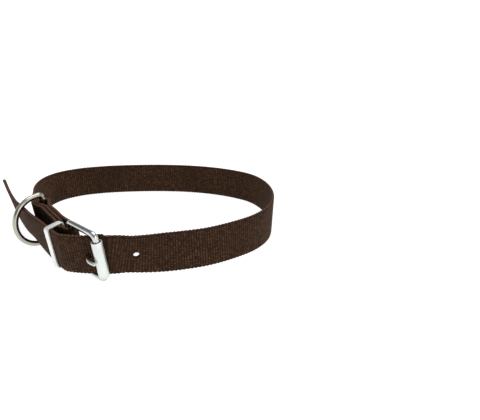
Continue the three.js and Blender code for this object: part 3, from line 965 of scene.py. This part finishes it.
def webbing_piece():
    """The strip as a grid of length by section: flat faces as wide as the scallops say, joined by selvedges
    that are half ellipses."""
    rows = int(strip.length / (picot_pitch / rows_per_picot)) + 1
    s = np.repeat(np.linspace(0, strip.length - end_gap, rows)[:, None], webbing_columns + 1, axis=1)
    half = width_at(s[:, 0])[:, None]
    bulge = np.minimum(edge_radius, half / 2)
    v = (half - bulge) * np.linspace(-1, 1, webbing_columns + 1)[None]
    sear = np.clip(1 - s / end_sear, 0, 1) + np.clip(1 - (strip.length - s) / end_sear, 0, 1)
    s, v, sear, removed = opened_holes(s, v, sear)
    turn = (np.arange(selvedge_points) + 1) * np.pi / (selvedge_points + 1)
    top = half - bulge + np.sin(turn)[None] * bulge
    thick = half_thick * np.cos(turn)[None] * np.ones_like(half)
    edge_s = np.repeat(s[:, :1], selvedge_points, axis=1)
    front = strip.at(s, v, np.full_like(s, half_thick))
    back = strip.at(s, v, np.full_like(s, -half_thick))
    upper = strip.at(edge_s, top, thick)
    lower = strip.at(edge_s, -top, -thick)
    points = round_section(front, upper, back, lower).reshape(-1, 3)
    faces = outward(points, strip_faces(rows, removed))
    along = round_section(s, edge_s, s, edge_s)
    across = round_section(v, top, v, -top)
    sear = round_section(sear, sear[:, -selvedge_points:], sear, sear[:, :selvedge_points])
    return points, capped(points, faces, section_points), {
        "along": along.ravel(),
        "across": across.ravel(),
        "sear": np.clip(sear, 0, 1).ravel(),
        # painted shade on the fold's outer layer
        "painted_fold_shade": fold_shade_share(along).ravel(),
    }


points, faces, weave = webbing_piece()
webbing = make_piece("webbing", points, faces, "collar", "strap", webbing_material, weave)


# Hardware
def buckle_wire_piece():
    """The wire rectangle of the buckle: a round tube along a rectangle with rounded corners."""
    outline = rounded_outline(buckle_length, frame_half, buckle_bar_corner, buckle_roller_corner)
    outline = evenly(outline, wire_step)
    path = place(buckle_frame(0), outline[:, 0], 0, outline[:, 1])
    return tube(path, buckle_axes["n"], wire_radius, wire_sides, True)


def prong_piece():
    """A round wire hooked round the bar and bent up through the strip. It narrows evenly past the start of
    its taper, and both ends are rounded as quarter ellipses."""
    flat = prong_path()
    run = lengths(flat)
    s = np.linspace(0, run[-1], prong_points)
    path = prong_places(resampled(s, run, flat))
    left = np.clip((s[-1] - s) / (prong_radius * prong_tip_round), 0, 1)
    begun = np.clip(s / (prong_radius * prong_end_round), 0, 1)
    past = np.clip((s / s[-1] - prong_taper_from) / (1 - prong_taper_from), 0, 1)
    round_ends = np.sqrt(1 - (1 - left) ** 2) * np.sqrt(1 - (1 - begun) ** 2)
    radii = prong_radius * (1 - prong_taper * past) * np.maximum(round_ends, prong_least_share)
    points, faces, _ = tube(path, buckle_axes["w"], radii, prong_sides, False)
    return points, capped(points, faces, prong_sides)


def ring_frame():
    """The ring's frame: its bar in the fold, raised so that the foot of the ring meets the ground."""
    at = {**swung(fold_axes, ring_swing), "p": fold_frame(ring_distance)["p"]}
    half = ring_inner_height / 2 + ring_radius
    foot = np.hypot(at["w"][2], at["n"][2]) * half + ring_radius - ring_straight * at["n"][2]
    at["p"] = at["p"] + at["w"] * (foot - at["p"][2]) / at["w"][2]
    return at


def ring_piece():
    """A wire D: a round tube along a straight bar, two small corners and half a circle."""
    half = ring_inner_height / 2 + ring_radius
    outline = evenly(np.vstack([
        arc(ring_corner, ring_corner - half, ring_corner, 180, 270),
        arc(ring_straight, 0, half, 270, 450, ring_arc_steps),
        arc(ring_corner, half - ring_corner, ring_corner, 90, 180),
    ]), ring_step)
    at = ring_frame()
    path = place(at, 0, outline[:, 0], outline[:, 1])
    return tube(path, at["u"], ring_radius, wire_sides, True)


def keeper_piece():
    """A flat band bent round into a rectangle: its section is a rectangle eased by a power of sine and
    cosine, made thinner by a bell curve in the fine groove where its ends meet."""
    middle = place(fold_frame(keeper_distance), 0, keeper_stand_off)
    at = {**swung(fold_axes, -keeper_swing), "p": middle}
    side = half_width + keeper_side_gap + keeper_thickness / 2
    outline = evenly(rounded_outline(keeper_reach, side, keeper_corner, keeper_corner), keeper_step)
    before, after = np.roll(outline, 1, axis=0), np.roll(outline, -1, axis=0)
    along = unit(after - before)
    out = np.column_stack([along[:, 1], -along[:, 0]])
    joint = np.array([keeper_reach - keeper_corner, side])
    from_joint = np.linalg.norm(outline - joint, axis=1) / keeper_groove_width
    groove = 1 - keeper_groove_share * np.exp(-from_joint**2)
    turn = 2 * np.pi * np.arange(keeper_sides) / keeper_sides
    wide = np.sign(np.cos(turn)) * np.abs(np.cos(turn)) ** keeper_edge_power * keeper_band / 2
    thick = np.sign(np.sin(turn)) * np.abs(np.sin(turn)) ** keeper_edge_power * keeper_thickness / 2
    n = outline[:, None, 0] + thick[None] * out[:, None, 0] * groove[:, None]
    w = outline[:, None, 1] + thick[None] * out[:, None, 1] * groove[:, None]
    u = np.broadcast_to(wide[None], n.shape)
    points = place(at, u, n, w).reshape(-1, 3)
    return points, outward(points, grid_faces(len(outline), keeper_sides, True, True))


def roller_piece():
    """A profile turned about the far wire: a straight wall with lips rolled over in half circles. A shallow
    seam runs along its outside, as deep as a bell curve of the angle from it."""
    inner = roller_radius - roller_wall
    half = roller_length / 2
    lip = roller_wall / 2
    angle = np.linspace(0, np.pi, lip_points)
    top = np.column_stack([inner + lip + lip * np.cos(angle), half - lip + lip * np.sin(angle)])
    bottom = (top * [1, -1])[::-1]
    rise = np.linspace(lip - half, half - lip, roller_rows)[1:-1]
    fall = np.linspace(half - lip, lip - half, bore_rows)[1:-1]
    outer = np.column_stack([np.full_like(rise, roller_radius), rise])
    inside = np.column_stack([np.full_like(fall, inner), fall])
    profile = np.vstack([outer, top, inside, bottom])
    turn = 2 * np.pi * np.arange(roller_sides) / roller_sides
    from_seam = np.angle(np.exp(1j * (turn - np.radians(seam_azimuth))))
    seam = seam_depth * np.exp(-(from_seam / seam_spread) ** 2)
    outside = (profile[:, 0] > roller_radius - seam_skin)[None]
    radius = profile[None, :, 0] - seam[:, None] * outside
    u, n = radius * np.cos(turn)[:, None], radius * np.sin(turn)[:, None]
    at = {**buckle_frame(buckle_length), "p": roller_centre}
    points = place(at, u, n, profile[None, :, 1]).reshape(-1, 3)
    return points, outward(points, grid_faces(len(turn), len(profile), True, True))


def stitch_rows():
    """Short arcs of thread in rows across the fold, on both of its faces: each is a tube along half an oval
    that stands on the webbing, with both its ends sunk in it, and is shifted a little at random."""
    heights = (np.arange(stitches_per_row) - (stitches_per_row - 1) / 2) * stitch_pitch
    d, w, side = np.meshgrid(stitch_distances, heights, [1.0, -1.0], indexing="ij")
    d, w, side = d.ravel(), w.ravel(), side.ravel()
    outer = np.interp(d, outer_layer[:, 0], outer_layer[:, 1])
    inner = np.interp(d, inner_layer[:, 0], inner_layer[:, 1])
    face = np.where(side > 0, outer, -inner) + half_thick
    angle = np.linspace(-stitch_overrun, np.pi + stitch_overrun, stitch_points)[:, None]
    turn = 2 * np.pi * np.arange(thread_sides) / thread_sides
    round_thread = thread_radius * np.cos(turn)
    reach = stitch_reach * np.cos(angle) + round_thread * np.cos(angle)
    rise = stitch_rise * np.sin(angle) - stitch_sink + round_thread * np.sin(angle)
    jitter = rng.normal(0, stitch_jitter, (len(d), 1, 1))
    up = w[:, None, None] + reach + jitter
    out = (face[:, None, None] + rise) * side[:, None, None]
    back = d[:, None, None] + thread_radius * np.sin(turn) + jitter + np.zeros_like(up)
    places = place(fold_frame(back), 0, out, up)
    points = places.reshape(-1, 3)
    each = grid_faces(stitch_points, thread_sides, False, True)
    one, other = places[0].reshape(-1, 3), places[1].reshape(-1, 3)
    size = len(one)
    faces = []
    for shape, start in ((one, 0), (other, 1)):
        turned = outward(shape - shape.mean(axis=0), each)
        index = np.arange(start, len(d), 2) * size
        faces.append((turned[None] + index[:, None, None]).reshape(-1, 4))
    return points, np.vstack(faces)


points, faces, into = buckle_wire_piece()
make_piece(
    "buckle_wire", points, faces.tolist(), "collar", "buckle_frame", wire_material,
    {"into": into},
)
points, faces = prong_piece()
make_piece("prong_wire", points, faces, "collar", "prong", wire_material)
points, faces = keeper_piece()
make_piece("keeper_band", points, faces.tolist(), "collar", "keeper", keeper_material)
points, faces, into = ring_piece()
make_piece(
    "ring_wire", points, faces.tolist(), "ring", "d_ring", ring_material, {"into": into},
)
points, faces = roller_piece()
make_piece("roller_tube", points, faces.tolist(), "roller", "roller", roller_material)
points, faces = stitch_rows()
make_piece("fold_stitches", points, faces.tolist(), "collar", None, thread_material)


# Stage
def floor_finish():
    """A matt grey that glows white, less and less from the foot of the wall up."""
    m = Shader("floor")
    split = m.add("ShaderNodeSeparateXYZ")
    m.put(m.place(), split.inputs[0])
    return m.finish(
        Base_Color=floor_grey,
        Roughness=0.9,
        Emission_Color=glow_white,
        Emission_Strength=m.remap(split.outputs["Z"], *glow_heights, *glow_strengths),
    )


def floor_piece():
    """A disc under the collar whose rim bends up all round into a low wall: a radius and a height turned
    about the upright, closed in the middle by one face."""
    bend = np.radians(np.linspace(0, 90, floor_bend_points))
    bend_radius = floor_flat_radius + floor_bend_radius * np.sin(bend)
    bend_height = floor_bend_radius * (1 - np.cos(bend))
    radius = np.concatenate([floor_rings, bend_radius, bend_radius[-1:]])
    height = np.concatenate([np.zeros(len(floor_rings)), bend_height, [floor_wall_height]])
    turn = 2 * np.pi * np.arange(floor_sides)[:, None] / floor_sides
    upright = np.ones_like(turn) * height
    points = np.stack([np.cos(turn) * radius, np.sin(turn) * radius, upright], axis=-1).reshape(-1, 3)
    faces = grid_faces(len(turn), len(radius), True, False)
    middle = list(range(0, len(points), len(radius)))
    faces = faces[:, ::-1].tolist() + [middle]
    scene_object("floor", smooth_mesh("floor", points, faces, floor_finish()))


def area_light(name, position, size, power):
    """A square white light, in metres and watts, turned to face the middle of the floor."""
    data = bpy.data.lights.new(name, "AREA")
    data.size = size
    data.energy = power
    lamp = scene_object(name, data)
    away = unit(np.array(position, float))
    lamp.location = position
    lamp.rotation_euler = (np.arccos(away[2]), 0, np.arctan2(away[1], away[0]) + np.pi / 2)


def sky():
    """A grey surround for the plate to mirror, dark below and lighter overhead."""
    world = bpy.data.worlds.new("studio")
    bpy.context.scene.world = world
    world.use_nodes = True
    tree = world.node_tree
    background = tree.nodes["Background"]
    coordinates = tree.nodes.new("ShaderNodeTexCoord")
    split = tree.nodes.new("ShaderNodeSeparateXYZ")
    ramp = tree.nodes.new("ShaderNodeValToRGB")
    tree.links.new(coordinates.outputs["Generated"], split.inputs[0])
    tree.links.new(split.outputs["Z"], ramp.inputs[0])
    tree.links.new(ramp.outputs["Color"], background.inputs["Color"])
    below, above = ramp.color_ramp.elements
    below.position, below.color = 0.0, sky_below
    above.position, above.color = 0.9, sky_above
    ramp.color_ramp.elements.new(0.5).color = sky_level
    background.inputs["Strength"].default_value = 1.0


def photo_camera():
    """The camera of the photograph, looking along +Y and down, its lens worked out from pixels."""
    data = bpy.data.cameras.new("camera")
    data.sensor_width = sensor_width
    data.lens = sensor_width * focal_pixels / photo_width_pixels
    data.clip_start = 0.01
    data.clip_end = 20
    camera = scene_object("camera", data)
    camera.location = ((camera_place + row_shift * [1, 1, 0]) / 1000).tolist()
    camera.rotation_euler = np.radians([90 - camera_down, 0, 0]).tolist()
    bpy.context.scene.camera = camera


floor_piece()
area_light("front", (0.6, -0.85, 0.55), 0.7, 2.2)
area_light("side", (0.95, -0.25, 0.7), 0.6, 1.8)
area_light("top", (0.1, 0.3, 1.1), 0.9, 6)
sky()
photo_camera()
bpy.context.scene.view_settings.view_transform = "Standard"
